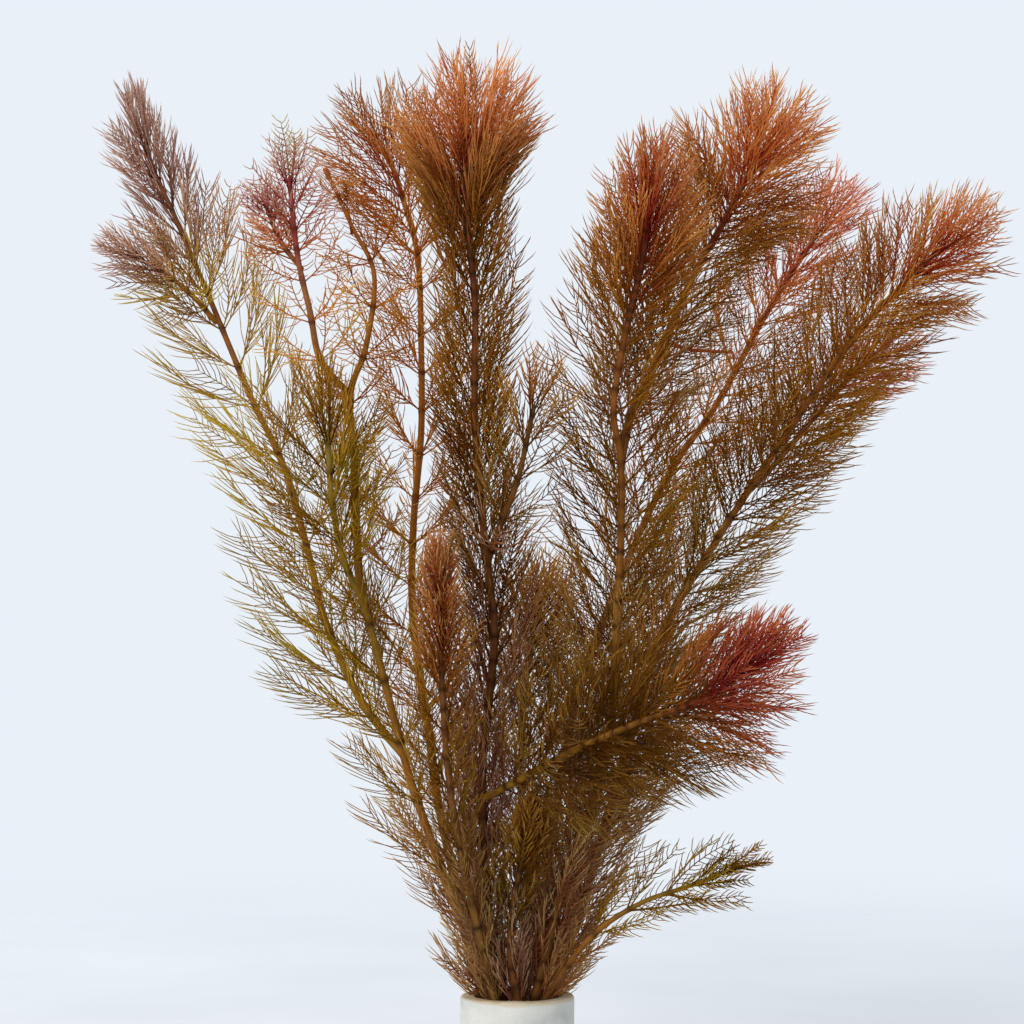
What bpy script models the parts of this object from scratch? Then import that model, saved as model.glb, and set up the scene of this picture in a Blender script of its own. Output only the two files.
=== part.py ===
"""A bunch of red milfoil, an aquarium plant with feather leaves in whorls, standing in its ceramic ring.

The origin is the centre of the ring's underside. +Z is up and the bunch is seen along +Y.
Values below are millimetres and degrees; the meshes are made in metres.
"""

import math

import bmesh
import bpy
from mathutils import Vector
from mathutils.bvhtree import BVHTree

MM = 0.001

# Ring and plug
RING_HEIGHT = 28.0
RING_RADIUS = 15.0
RING_BORE_RADIUS = 11.0
RING_EDGE = 0.8
RING_SEGMENTS = 24
TOUCH_GAP = 0.3
PLUG_RADIUS = RING_BORE_RADIUS - TOUCH_GAP
PLUG_TOP = RING_HEIGHT - 2.0
SOCKET_FLOOR = 8.0
SOCKET_RADIUS = 1.9

# Stems and leaves
STEM_SIDES = 6
NODE_HEIGHT = 1.5
BUD_LENGTH = 2.5
BUD_BASE_SHARE = 0.6
LAST_WHORL_TO_TIP = 2.5
FORK_GAP = 0.55
CURVE_STEPS = 12
BLADE_THICKNESS = 0.55
BLADE_WIDTH_SHARE = 0.42
BLADE_WIDEST_AT = 0.5
BLADE_CURVE = 0.72
LEAF_CLEARANCE = 0.35
ROOT_CLEARANCE_SHARE = 1.35
RIM_CLEARANCE = 1.0
LEAF_SIZES_TRIED = (1.0, 0.82, 0.64)

# The crown is open from the first share of its length on, and closes up from the second
CROWN_OPENS = 0.35
CROWN_CLOSES = 0.7
TIP_ANGLE_SHARE = 0.4

# Leaves are shortest at the ring and full-sized above the foot zone
FOOT_ZONE = 45.0
FOOT_LEAF_SHARE = 0.55

# Each stem or shoot, from the foot to the tip: points of its route, its radius at the foot and at
# the tip, the leaves' length, the leaves' angle to it low down and in the crown, the distance
# between whorls low down and in the crown, the crown's length, the length without leaves above
# the first point, and the colour. A shoot also names the piece that it grows from.
SHOOTS = {
    "left_stem": dict(
        points=[(-8, 1, 26), (-13, 1, 42), (-19, 1, 58), (-27, 0, 81), (-30, 0, 91), (-36, -2, 115),
                (-40, -4, 130), (-45, -9, 142), (-48, -13, 157), (-49, -15, 174)],
        radius=(1.3, 0.7), leaf=26, spread=(46, 40), whorls=(17, 8.5), crown=42, bare=6,
        colour=(0.30, 0.25, 0.07),
    ),
    "far_left_shoot": dict(
        parent="left_stem",
        points=[(-30, 0, 91), (-37, 3, 99), (-43, 5, 108), (-51, 8, 126), (-56, 12, 145),
                (-62, 15, 166), (-72, 18, 187), (-83, 20, 213), (-92, 21, 234), (-98, 22, 247),
                (-100, 22, 253)],
        radius=(1.1, 0.6), leaf=25, spread=(46, 24), whorls=(16, 10), crown=54, bare=6,
        colour=(0.38, 0.27, 0.14),
    ),
    "far_left_side_shoot": dict(
        parent="far_left_shoot",
        points=[(-81, 20, 206), (-86, 13, 212), (-93, 9, 218), (-100, 7, 222)],
        radius=(0.8, 0.5), leaf=18, spread=(40, 24), whorls=(8, 7), crown=14, bare=5,
        colour=(0.36, 0.27, 0.16),
    ),
    "broken_tip_shoot": dict(
        parent="left_stem",
        points=[(-40, -4, 130), (-42, 2, 141), (-43, 3, 168), (-44, 2, 186), (-40, 5, 199),
                (-38, 8, 218), (-44, 11, 231), (-51, 13, 246)],
        radius=(1.2, 0.8), leaf=20, spread=(48, 50), whorls=(15, 15), crown=1, bare=8,
        colour=(0.45, 0.30, 0.10),
    ),
    "rose_shoot": dict(
        parent="broken_tip_shoot",
        points=[(-44, 2, 186), (-48, -3, 190), (-52, -6, 196), (-54, -9, 207), (-57, -12, 221),
                (-59, -14, 240)],
        radius=(0.95, 0.6), leaf=18, spread=(50, 36), whorls=(11, 7), crown=22, bare=8,
        colour=(0.55, 0.25, 0.18),
    ),
    "rose_side_shoot": dict(
        parent="rose_shoot",
        points=[(-56, -11, 218), (-62, -8, 226), (-66, -6, 236)],
        radius=(0.7, 0.45), leaf=11, spread=(45, 32), whorls=(6, 5), crown=12, bare=5,
        colour=(0.50, 0.15, 0.16),
    ),
    "feathery_stem": dict(
        points=[(-5.5, 6, 26), (-15, 9, 52), (-21, 12, 77), (-24, 14, 99), (-28, 18, 126),
                (-28, 22, 151), (-26, 25, 176), (-26, 27, 198), (-27, 30, 224), (-31, 32, 240),
                (-35, 33, 252)],
        radius=(1.25, 0.7), leaf=25, spread=(47, 46), whorls=(15, 8.5), crown=30, bare=20,
        colour=(0.55, 0.30, 0.14),
    ),
    "tall_stem": dict(
        points=[(-3.6, -1.6, 26), (-7, -3, 42), (-9, -4, 72), (-9, -5, 91), (-6, -7, 122),
                (-8, -8, 142), (-11, -10, 177), (-11, -10, 208), (-13, -10, 232), (-12, -10, 248)],
        radius=(1.3, 0.75), leaf=28, spread=(30, 56), whorls=(15.5, 8), crown=44, bare=12,
        colour=(0.30, 0.17, 0.09),
    ),
    "tall_side_shoot": dict(
        parent="tall_stem",
        points=[(-8, -8, 141), (-5, -14, 150), (0, -20, 163), (4, -24, 181)],
        radius=(0.9, 0.6), leaf=21, spread=(38, 26), whorls=(10, 8), crown=20, bare=7,
        colour=(0.24, 0.17, 0.07),
    ),
    "crimson_shoot": dict(
        parent="tall_stem",
        points=[(-9, -5, 80), (-2, -11, 84), (8, -18, 90), (17, -23, 95), (30, -28, 101),
                (41, -31, 105), (50, -33, 109), (57, -34, 115)],
        radius=(1.0, 0.6), leaf=24, spread=(44, 44), whorls=(13, 8), crown=24, bare=10,
        colour=(0.42, 0.16, 0.10),
    ),
    "inner_stem": dict(
        points=[(-5.5, -6.4, 26), (-12, -12, 54), (-17, -18, 81), (-19, -23, 104), (-20, -26, 138)],
        radius=(1.1, 0.6), leaf=18, spread=(36, 22), whorls=(16, 10), crown=36, bare=8,
        colour=(0.36, 0.17, 0.10),
    ),
    "right_stem": dict(
        points=[(4.2, -1.8, 26), (9, -4, 45), (13, -6, 62), (17, -8, 72), (22, -10, 87),
                (25, -10, 106), (26, -9, 129), (27, -8, 148), (27, -8, 168), (25, -10, 182),
                (28, -12, 201), (32, -15, 219), (34, -16, 234)],
        radius=(1.3, 0.7), leaf=26, spread=(42, 42), whorls=(17, 8.5), crown=38, bare=20,
        colour=(0.36, 0.22, 0.08),
    ),
    "right_fork_shoot": dict(
        parent="right_stem",
        points=[(27, -8, 168), (30, -1, 181), (36, 6, 193), (42, 11, 207), (48, 14, 220),
                (56, 15, 234), (64, 16, 250)],
        radius=(1.15, 0.7), leaf=28, spread=(38, 56), whorls=(12, 8), crown=40, bare=10,
        colour=(0.40, 0.19, 0.10),
    ),
    "back_stem": dict(
        points=[(1.5, 8.2, 26), (7, 11, 48), (9, 13, 66), (16, 24, 104), (27, 34, 134),
                (41, 42, 164), (56, 46, 186), (68, 48, 208), (83, 50, 232)],
        radius=(1.25, 0.7), leaf=26, spread=(42, 48), whorls=(18, 9), crown=34, bare=8,
        colour=(0.58, 0.32, 0.18),
    ),
    "far_right_stem": dict(
        points=[(7.6, 3.2, 26), (15, 4, 45), (20, 5, 61), (26, 6, 81), (38, 8, 121), (52, 8, 146),
                (71, 8, 175), (84, 6, 194), (95, 4, 208), (111, 1, 224)],
        radius=(1.3, 0.7), leaf=26, spread=(42, 58), whorls=(17, 8), crown=34, bare=10,
        colour=(0.38, 0.24, 0.08),
    ),
    "far_right_side_shoot": dict(
        parent="far_right_stem",
        points=[(62, 8, 161), (69, 14, 168), (78, 21, 178), (87, 26, 188), (96, 28, 197)],
        radius=(0.85, 0.55), leaf=20, spread=(40, 44), whorls=(10, 7.5), crown=18, bare=10,
        colour=(0.48, 0.24, 0.13),
    ),
    "low_stem": dict(
        points=[(6.2, -5.6, 26), (14, -8, 38), (22, -11, 47), (33, -13, 54), (44, -15, 58),
                (54, -15, 62)],
        radius=(0.9, 0.5), leaf=20, spread=(36, 26), whorls=(11, 8.5), crown=14, bare=7,
        colour=(0.42, 0.33, 0.10),
    ),
    "short_front_stem": dict(
        points=[(0.3, -6.2, 26), (-2, -8, 41), (-1, -10, 54), (2, -13, 67), (4, -14, 74)],
        radius=(1.0, 0.6), leaf=20, spread=(40, 30), whorls=(12, 9), crown=14, bare=6,
        colour=(0.26, 0.18, 0.07),
    ),
    "middle_stem": dict(
        points=[(0.8, 2.6, 26), (2, 5, 42), (3, 8, 55), (1, 14, 78), (2, 18, 105), (5, 20, 128)],
        radius=(1.1, 0.6), leaf=22, spread=(40, 30), whorls=(17, 10), crown=24, bare=22,
        colour=(0.32, 0.21, 0.08),
    ),
}


def clear_scene():
    for old in list(bpy.data.objects):
        bpy.data.objects.remove(old, do_unlink=True)


def make_material(name, colour, roughness):
    material = bpy.data.materials.new(name)
    material.use_nodes = True
    shader = material.node_tree.nodes["Principled BSDF"]
    shader.inputs["Base Color"].default_value = (*colour, 1.0)
    shader.inputs["Roughness"].default_value = roughness
    shader.inputs["Metallic"].default_value = 0.0
    return material


def add_object(name, bm, colour, roughness):
    """Turns a bmesh in millimetres into a named object in metres."""
    bmesh.ops.scale(bm, vec=(MM, MM, MM), verts=bm.verts)
    mesh = bpy.data.meshes.new(name)
    bm.to_mesh(mesh)
    bm.free()
    mesh.materials.append(make_material(name, colour, roughness))
    obj = bpy.data.objects.new(name, mesh)
    bpy.context.scene.collection.objects.link(obj)
    return obj


def smooth_round(obj, angle=40.0):
    obj.data.shade_smooth()
    obj.data.set_sharp_from_angle(angle=math.radians(angle))


def make_ring():
    """Turned ring: a square section with its four edges broken."""
    inner, outer, top, edge = RING_BORE_RADIUS, RING_RADIUS, RING_HEIGHT, RING_EDGE
    section = [(inner, 0.0), (outer - edge, 0.0), (outer, edge), (outer, top - edge),
               (outer - edge, top), (inner + edge, top), (inner, top - edge)]
    bm = bmesh.new()
    rim = [bm.verts.new((r, 0.0, z)) for r, z in section]
    edges = [bm.edges.new((a, b)) for a, b in zip(rim, rim[1:] + rim[:1])]
    bmesh.ops.spin(bm, geom=rim + edges, cent=(0, 0, 0), axis=(0, 0, 1), angle=2 * math.pi,
                   steps=RING_SEGMENTS, use_merge=True)
    bmesh.ops.remove_doubles(bm, verts=bm.verts, dist=0.001)
    bmesh.ops.recalc_face_normals(bm, faces=bm.faces)
    ring = add_object("ceramic_ring", bm, (0.82, 0.80, 0.74), 0.75)
    smooth_round(ring)


def make_plug(feet):
    """Round plug, flush with the ring's underside, with one blind socket for each stem's foot."""
    bm = bmesh.new()
    bmesh.ops.create_cone(bm, cap_ends=True, segments=RING_SEGMENTS, radius1=PLUG_RADIUS,
                          radius2=PLUG_RADIUS, depth=PLUG_TOP)
    bmesh.ops.translate(bm, vec=(0, 0, PLUG_TOP / 2), verts=bm.verts)
    plug = add_object("wool_plug", bm, (0.52, 0.48, 0.40), 0.95)
    depth = RING_HEIGHT - SOCKET_FLOOR
    cutter_bm = bmesh.new()
    for x, y, _ in feet:
        made = bmesh.ops.create_cone(cutter_bm, cap_ends=True, segments=STEM_SIDES,
                                     radius1=SOCKET_RADIUS, radius2=SOCKET_RADIUS, depth=depth)
        bmesh.ops.translate(cutter_bm, vec=(x, y, SOCKET_FLOOR + depth / 2), verts=made["verts"])
    cutter = add_object("socket_cutter", cutter_bm, (0.5, 0.5, 0.5), 0.5)
    cutter.hide_render = True
    cutter.display_type = "WIRE"
    cut = plug.modifiers.new("sockets", "BOOLEAN")
    cut.operation = "DIFFERENCE"
    cut.solver = "EXACT"
    cut.object = cutter


def smooth_route(points):
    """Catmull-Rom curve through the points: its positions and their distances along it."""
    knots = [Vector(p) for p in points]
    knots = [2 * knots[0] - knots[1]] + knots + [2 * knots[-1] - knots[-2]]
    curve = []
    for a, b, c, d in zip(knots, knots[1:], knots[2:], knots[3:]):
        for step in range(CURVE_STEPS):
            t = step / CURVE_STEPS
            curve.append(0.5 * (2 * b + (c - a) * t + (2 * a - 5 * b + 4 * c - d) * t ** 2
                                + (3 * b - a - 3 * c + d) * t ** 3))
    curve.append(knots[-2])
    lengths = [0.0]
    for p, q in zip(curve, curve[1:]):
        lengths.append(lengths[-1] + (q - p).length)
    return curve, lengths


def at_distance(route, s):
    """Position and unit direction at distance s along a route."""
    curve, lengths = route
    i = 0
    while i < len(curve) - 2 and lengths[i + 1] < s:
        i += 1
    share = (s - lengths[i]) / (lengths[i + 1] - lengths[i])
    return curve[i].lerp(curve[i + 1], share), (curve[i + 1] - curve[i]).normalized()


def start_beside(parent_route, points, offset):
    """Moves a shoot's first point from its parent's axis to just off the parent's skin."""
    start, outward = Vector(points[0]), Vector(points[1]) - Vector(points[0])
    curve, _ = parent_route
    nearest = min(range(len(curve) - 1), key=lambda i: (curve[i] - start).length)
    along = (curve[nearest + 1] - curve[nearest]).normalized()
    outward -= outward.dot(along) * along
    return [curve[nearest] + outward.normalized() * offset] + points[1:]


def crown_share(spec, s, total):
    """How far into the crown a place is: 0 below it, 1 at the tip."""
    return min(1.0, max(0.0, 1.0 - (total - s) / spec["crown"]))


def whorl_distances(spec, total):
    """Distances of the whorls along a shoot, set out from the tip down, closest in the crown."""
    low, close = spec["whorls"]
    places, s = [], total - LAST_WHORL_TO_TIP
    while s > spec["bare"]:
        places.append(s)
        s -= low + (close - low) * min(1.0, crown_share(spec, s, total) / CROWN_OPENS)
    return places[::-1]


def leaf_angle(spec, s, total):
    """Leaf angle to the stem in degrees: it opens out over the crown, then closes at the tip."""
    low, crown = spec["spread"]
    share = crown_share(spec, s, total)
    opened = low + (crown - low) * min(1.0, share / CROWN_OPENS)
    closed = max(0.0, share - CROWN_CLOSES) / (1.0 - CROWN_CLOSES)
    return opened * (1.0 - (1.0 - TIP_ANGLE_SHARE) * closed)


def leaf_length(shoot, s):
    """Full leaf length, less near the ring, where the stems stand close together."""
    height = at_distance(shoot.route, s)[0].z - RING_HEIGHT
    share = min(1.0, max(0.0, height / FOOT_ZONE))
    return shoot.spec["leaf"] * (FOOT_LEAF_SHARE + (1.0 - FOOT_LEAF_SHARE) * share)


def tube_ring(bm, centre, direction, side, radius):
    """Ring of STEM_SIDES vertices square to the direction, its first vertex towards side."""
    across = direction.cross(side).normalized()
    side = across.cross(direction).normalized()
    ring = []
    for k in range(STEM_SIDES):
        turn = 2 * math.pi * k / STEM_SIDES
        ring.append(bm.verts.new(centre + radius * (math.cos(turn) * side + math.sin(turn) * across)))
    return ring


def skin(bm, lower, upper):
    """Side faces between two rings, in order round the stem."""
    count = len(lower)
    return [bm.faces.new((lower[k], lower[(k + 1) % count], upper[(k + 1) % count], upper[k]))
            for k in range(count)]


class Shoot:
    """A stem's tube, with the faces at each whorl that leaves will grow from."""

    def __init__(self, name, spec, parents):
        self.name, self.spec = name, spec
        points = spec["points"]
        if "parent" in spec:
            parent = parents[spec["parent"]]
            offset = parent.spec["radius"][0] + spec["radius"][0] + FORK_GAP
            points = start_beside(parent.route, points, offset)
        self.route = smooth_route(points)
        self.total = self.route[1][-1]
        self.bm = bmesh.new()
        self.sockets = []
        self.build_tube(points)

    def radius_at(self, s):
        foot, tip = self.spec["radius"]
        return foot + (tip - foot) * s / self.total

    def build_tube(self, points):
        bm, side = self.bm, Vector((1, 0, 0))
        rings = []
        if "parent" not in self.spec:
            x, y, _ = points[0]
            foot = Vector((x, y, SOCKET_FLOOR + TOUCH_GAP))
            rings.append(tube_ring(bm, foot, Vector((0, 0, 1)), side, self.radius_at(0)))
            mouth = Vector((x, y, PLUG_TOP))
            rings.append(tube_ring(bm, mouth, Vector((0, 0, 1)), side, self.radius_at(0)))
        else:
            centre, direction = at_distance(self.route, 0.0)
            rings.append(tube_ring(bm, centre, direction, side, self.radius_at(0)))
        bands = []
        for s in whorl_distances(self.spec, self.total):
            for edge in (s - NODE_HEIGHT / 2, s + NODE_HEIGHT / 2):
                centre, direction = at_distance(self.route, edge)
                rings.append(tube_ring(bm, centre, direction, side, self.radius_at(edge)))
            bands.append((s, len(rings) - 2))
        centre, direction = at_distance(self.route, self.total)
        bud_radius = BUD_BASE_SHARE * self.radius_at(self.total)
        rings.append(tube_ring(bm, centre, direction, side, bud_radius))
        faces = [skin(bm, lower, upper) for lower, upper in zip(rings, rings[1:])]
        bm.faces.new(rings[0][::-1])
        top = bm.faces.new(rings[-1])
        bud = bmesh.ops.poke(bm, faces=[top])["verts"][0]
        bud.co = centre + direction * BUD_LENGTH
        for turn, (s, index) in enumerate(bands):
            for k in range(turn % 2, STEM_SIDES, 2):
                self.sockets.append((s, faces[index][k]))

    def tube_tree(self):
        """Search tree of the bare tube, before leaves grow on it."""
        return BVHTree.FromBMesh(self.bm)


def leaf_frame(shoot, s, face):
    """Root, outward, upward and sideways directions for the leaf on one face of a whorl."""
    centre, along = at_distance(shoot.route, s)
    root = face.calc_center_median()
    outward = root - centre
    outward = (outward - outward.dot(along) * along).normalized()
    return root, outward, along, along.cross(outward).normalized()


def blade_points(shoot, s, face, size, grow):
    """Four corners of the blade's widest section and its tip. grow fattens the blade."""
    root, outward, along, across = leaf_frame(shoot, s, face)
    low_angle = math.radians(leaf_angle(shoot.spec, s, shoot.total))
    tip_angle = low_angle * BLADE_CURVE
    length = leaf_length(shoot, s) * size
    reach = length * BLADE_WIDEST_AT
    middle = root + reach * (math.sin(low_angle) * outward + math.cos(low_angle) * along)
    rest = length - reach
    tip = middle + rest * (math.sin(tip_angle) * outward + math.cos(tip_angle) * along)
    width = 0.5 * length * BLADE_WIDTH_SHARE + grow
    thick = 0.5 * BLADE_THICKNESS + grow
    normal = math.cos(low_angle) * outward - math.sin(low_angle) * along
    corners = [middle + i * width * across + j * thick * normal
               for i, j in ((-1, 1), (1, 1), (1, -1), (-1, -1))]
    return corners, tip + (tip - middle).normalized() * grow


def blade_hull(shoot, s, face, size, grow):
    """A slightly fat closed copy of a leaf, from just off the stem to its tip."""
    corners, tip = blade_points(shoot, s, face, size, grow)
    centre, _ = at_distance(shoot.route, s)
    root = [centre + (v.co - centre) * ROOT_CLEARANCE_SHARE for v in face.verts]
    points = order_root(root, corners) + corners + [tip]
    faces = [(0, 1, 2, 3)] + [(k, (k + 1) % 4, 4 + (k + 1) % 4, 4 + k) for k in range(4)]
    faces += [(4 + k, 4 + (k + 1) % 4, 8) for k in range(4)]
    return points, faces


def order_root(root, corners):
    """The root's corners, started where they best face the blade's corners, in the same turn."""
    def miss(order):
        return sum((a - b).length for a, b in zip(order, corners))
    turns = [root[k:] + root[:k] for k in range(4)]
    turns += [turn[::-1] for turn in turns]
    return min(turns, key=miss)


def grow_leaf(shoot, s, face, size):
    """Pulls one face of the whorl out into the blade's widest section, then into its tip."""
    corners, tip = blade_points(shoot, s, face, size, 0.0)
    made = bmesh.ops.extrude_discrete_faces(shoot.bm, faces=[face])["faces"][0]
    old = [v.co.copy() for v in made.verts]
    ordered = order_root(old, corners)
    for vert, co in zip(made.verts, old):
        vert.co = corners[ordered.index(co)]
    bmesh.ops.poke(shoot.bm, faces=[made])["verts"][0].co = tip


def box_of(points):
    low = Vector([min(p[i] for p in points) for i in range(3)])
    high = Vector([max(p[i] for p in points) for i in range(3)])
    return low, high


def boxes_meet(first, second):
    return all(first[0][i] <= second[1][i] and second[0][i] <= first[1][i] for i in range(3))


def grow_all_leaves(shoots):
    """Grows each leaf at the largest size whose fat copy is clear of every stem and leaf so far.

    The tips' whorls go first, because they give the bunch its outline."""
    stems = [shoot.tube_tree() for shoot in shoots]
    waiting = [(s / shoot.total, shoot, s, face) for shoot in shoots for s, face in shoot.sockets]
    waiting.sort(key=lambda item: -item[0])
    grown = []
    for _, shoot, s, face in waiting:
        for size in LEAF_SIZES_TRIED:
            points, faces = blade_hull(shoot, s, face, size, LEAF_CLEARANCE)
            box = box_of(points)
            if box[0].z < RING_HEIGHT + RIM_CLEARANCE:
                continue
            tree = BVHTree.FromPolygons(points, faces)
            near = [other for other_box, other in grown if boxes_meet(box, other_box)]
            if any(tree.overlap(other) for other in stems + near):
                continue
            grow_leaf(shoot, s, face, size)
            grown.append((box, tree))
            break


def main():
    clear_scene()
    shoots, by_name = [], {}
    for name, spec in SHOOTS.items():
        shoot = Shoot(name, spec, by_name)
        shoots.append(shoot)
        by_name[name] = shoot
    grow_all_leaves(shoots)
    make_ring()
    make_plug([spec["points"][0] for spec in SHOOTS.values() if "parent" not in spec])
    for shoot in shoots:
        bmesh.ops.recalc_face_normals(shoot.bm, faces=shoot.bm.faces)
        add_object(shoot.name, shoot.bm, shoot.spec["colour"], 0.6)


main()
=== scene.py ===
"""The looks of a red milfoil bunch in its ceramic plant ring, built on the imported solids.

Routes and sizes are in millimetres and degrees, and the meshes are made in metres.
+Z is up out of the ring, and the camera looks along +Y.
"""

import bpy
import numpy as np
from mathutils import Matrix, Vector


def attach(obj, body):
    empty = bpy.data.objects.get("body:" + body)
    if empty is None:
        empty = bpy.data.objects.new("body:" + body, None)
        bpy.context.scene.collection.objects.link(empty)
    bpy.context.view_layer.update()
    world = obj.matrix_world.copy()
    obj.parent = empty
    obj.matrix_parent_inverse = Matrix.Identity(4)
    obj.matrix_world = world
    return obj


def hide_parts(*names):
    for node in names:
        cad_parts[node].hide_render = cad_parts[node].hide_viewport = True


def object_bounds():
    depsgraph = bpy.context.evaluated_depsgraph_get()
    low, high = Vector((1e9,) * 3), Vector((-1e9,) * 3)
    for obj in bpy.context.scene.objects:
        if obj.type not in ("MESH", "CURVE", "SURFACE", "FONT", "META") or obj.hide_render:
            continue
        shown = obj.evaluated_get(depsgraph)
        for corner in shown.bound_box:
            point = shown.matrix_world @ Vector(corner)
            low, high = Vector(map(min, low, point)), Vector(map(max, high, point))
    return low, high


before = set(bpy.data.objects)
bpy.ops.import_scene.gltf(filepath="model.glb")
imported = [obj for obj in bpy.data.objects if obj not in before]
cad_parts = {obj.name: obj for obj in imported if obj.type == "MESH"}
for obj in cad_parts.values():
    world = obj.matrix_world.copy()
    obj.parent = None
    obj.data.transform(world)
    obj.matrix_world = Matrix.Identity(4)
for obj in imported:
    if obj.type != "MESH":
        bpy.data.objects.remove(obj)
cad_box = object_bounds()

MM = 0.001
MAP = "OFBake"
TO_THE_BACK = np.array([0.0, 1.0, 0.0])
UP = np.array([0.0, 0.0, 1.0])

# Camera where the bunch was seen from, with its focal length in pixels of the picture
CAMERA_PLACE = (-1.4, -895.0, 155.0)
FOCAL_PIXELS = 3400.0
PICTURE_PIXELS = 1024.0
SENSOR = 36.0
LENS = FOCAL_PIXELS * SENSOR / PICTURE_PIXELS
FLOOR_HALF = 700.0

# Ring and plug, as the solids have them
RING_HEIGHT = 28.0
RING_RADIUS = 15.0
BORE_RADIUS = 11.0
RIM_ROUND = 0.9
PLUG_RADIUS = 10.7
PLUG_TOP = 26.0
FOOT_DEPTH = 8.3

# Unevenness of the ring's top, and lumps and loose fibres of the wool
RIM_ZONE = 8.0
RING_SEGMENTS = 160
PLUG_SEGMENTS = 96
LUMP_DEPTH = 0.85
FIBRES = 420
FIBRE_POINTS = 6
FIBRE_STEP = 0.7
FIBRE_RISE = 0.9
FIBRE_RADIUS = 0.07

# Stems. BUD and STUMP are the last two points: how far past the end, and their share of its radius
CURVE_STEPS = 12
STEM_SIDES = 12
STEM_STEP = 1.3
NODE_SWELL = 0.2
NODE_LENGTH = 0.8
BUD = ((1.5, 0.55), (2.5, 0.0))
STUMP = ((0.9, 0.8), (1.1, 0.0))
STUMP_SWELL = 0.8
STUMP_LENGTH = 2.2

# Whorls: numbers of leaves that one can have, the random range of their distance, and the share of
# the crown above which a whorl counts as one of the crown
LOW_WHORL = (5, 5, 6)
CROWN_WHORL = (6, 6, 7)
WHORL_RANGE = (0.85, 1.15)
CROWN_WHORLS_FROM = 0.1

# Shares of the crown over which leaves reach their crown length, and open out
CROWN_FILLS = 0.35
CROWN_OPENS = 0.7
TIP_ANGLE_SHARE = 0.2

# Leaves start with these shares of their length and angle, and have all of it FOOT_ZONE above the ring
FOOT_ZONE = 58.0
FOOT_LEAF_SHARE = 0.72
FOOT_ANGLE_SHARE = 0.32

# Leaves point at the viewer where the y of their way outwards is below this
FRONT_GAP = -0.8

# How far leaves stray: the turn in radians, the place in mm, the zone on the map, and the others in
# degrees, of which the twist is low down and in the crown. Then the random range of their length
TURN_STRAY = 0.12
PLACE_STRAY = 0.25
ZONE_STRAY = 0.008
ANGLE_STRAY = 3.5
SWAY = 12.0
TWIST_STRAY = (32.0, 62.0)
LEAF_RANGE = (0.83, 0.96)

# Midribs, the shares of them round which they bow and sway, and where in the stem's radius they start
RIB_STEPS = 6
RIB_RADIUS = (0.24, 0.12)
BOW_CENTRE = 0.45
SWAY_CENTRE = 0.2
ROOT_SHARE = 0.7
THREAD_SIDES = 3

# Room that ribs keep to the solids' box, which they may pass at the top
KEPT_ROOM = (1.5, 4.4, -1.5)
SHORTEST_SHARE = 0.3

# Leaflets: the part of the rib that has them, and their turns at shares of their length. They are
# drawn about 0.3 mm thick, thicker and fewer than real ones, so that they show
LEAFLETS_FROM = 0.09
LEAFLETS_OVER = 0.88
LEAFLET_SPACING = 2.1
LEAFY_SHARE = 0.8
FEWEST_PAIRS = 5
PAIR_STAGGER = 0.1
LEAFLET_PLACES = (0.0, 0.34, 0.78, 1.0)
LEAFLET_TURNS = (1.35, 0.9, 0.6)
LEAFLET_LIFT = (0.0, 0.08, 0.16)
LEAFLET_RADIUS = (0.15, 0.143, 0.13, 0.0)
LEAFLET_RANGE = (0.8, 1.12)
LEAFLET_STRAY = 4.5
CUP = 10.0
CUP_STRAY = 24.0
# Share of leaflets that are nipped short, and what is left of them
NIPPED = 0.03
NIPPED_LENGTH = 0.4

# The map: a strip for the stem, and rows of leaf tints above it
STEM_STRIP = 0.08
STEM_EDGES = (0.004, STEM_STRIP - 0.012)
TINT_ROWS = 12
LOW_ZONE = 0.6
YOUNG_ROW = 0
YOUNG_SHARE = 0.01

# What a shoot, and a leaf placed by itself, have unless they say otherwise
USUAL = dict(plume=(26.0, 0.56), bow=(0.75, 0.0), bare=-5, closes=0.75, tip_leaf=0.85, flare=1.0,
             parted=0.8, bare_end=1.6, broken=False, odd=())
USUAL_ODD = dict(crown=0.0, row=5, thick=1.0)

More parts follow.
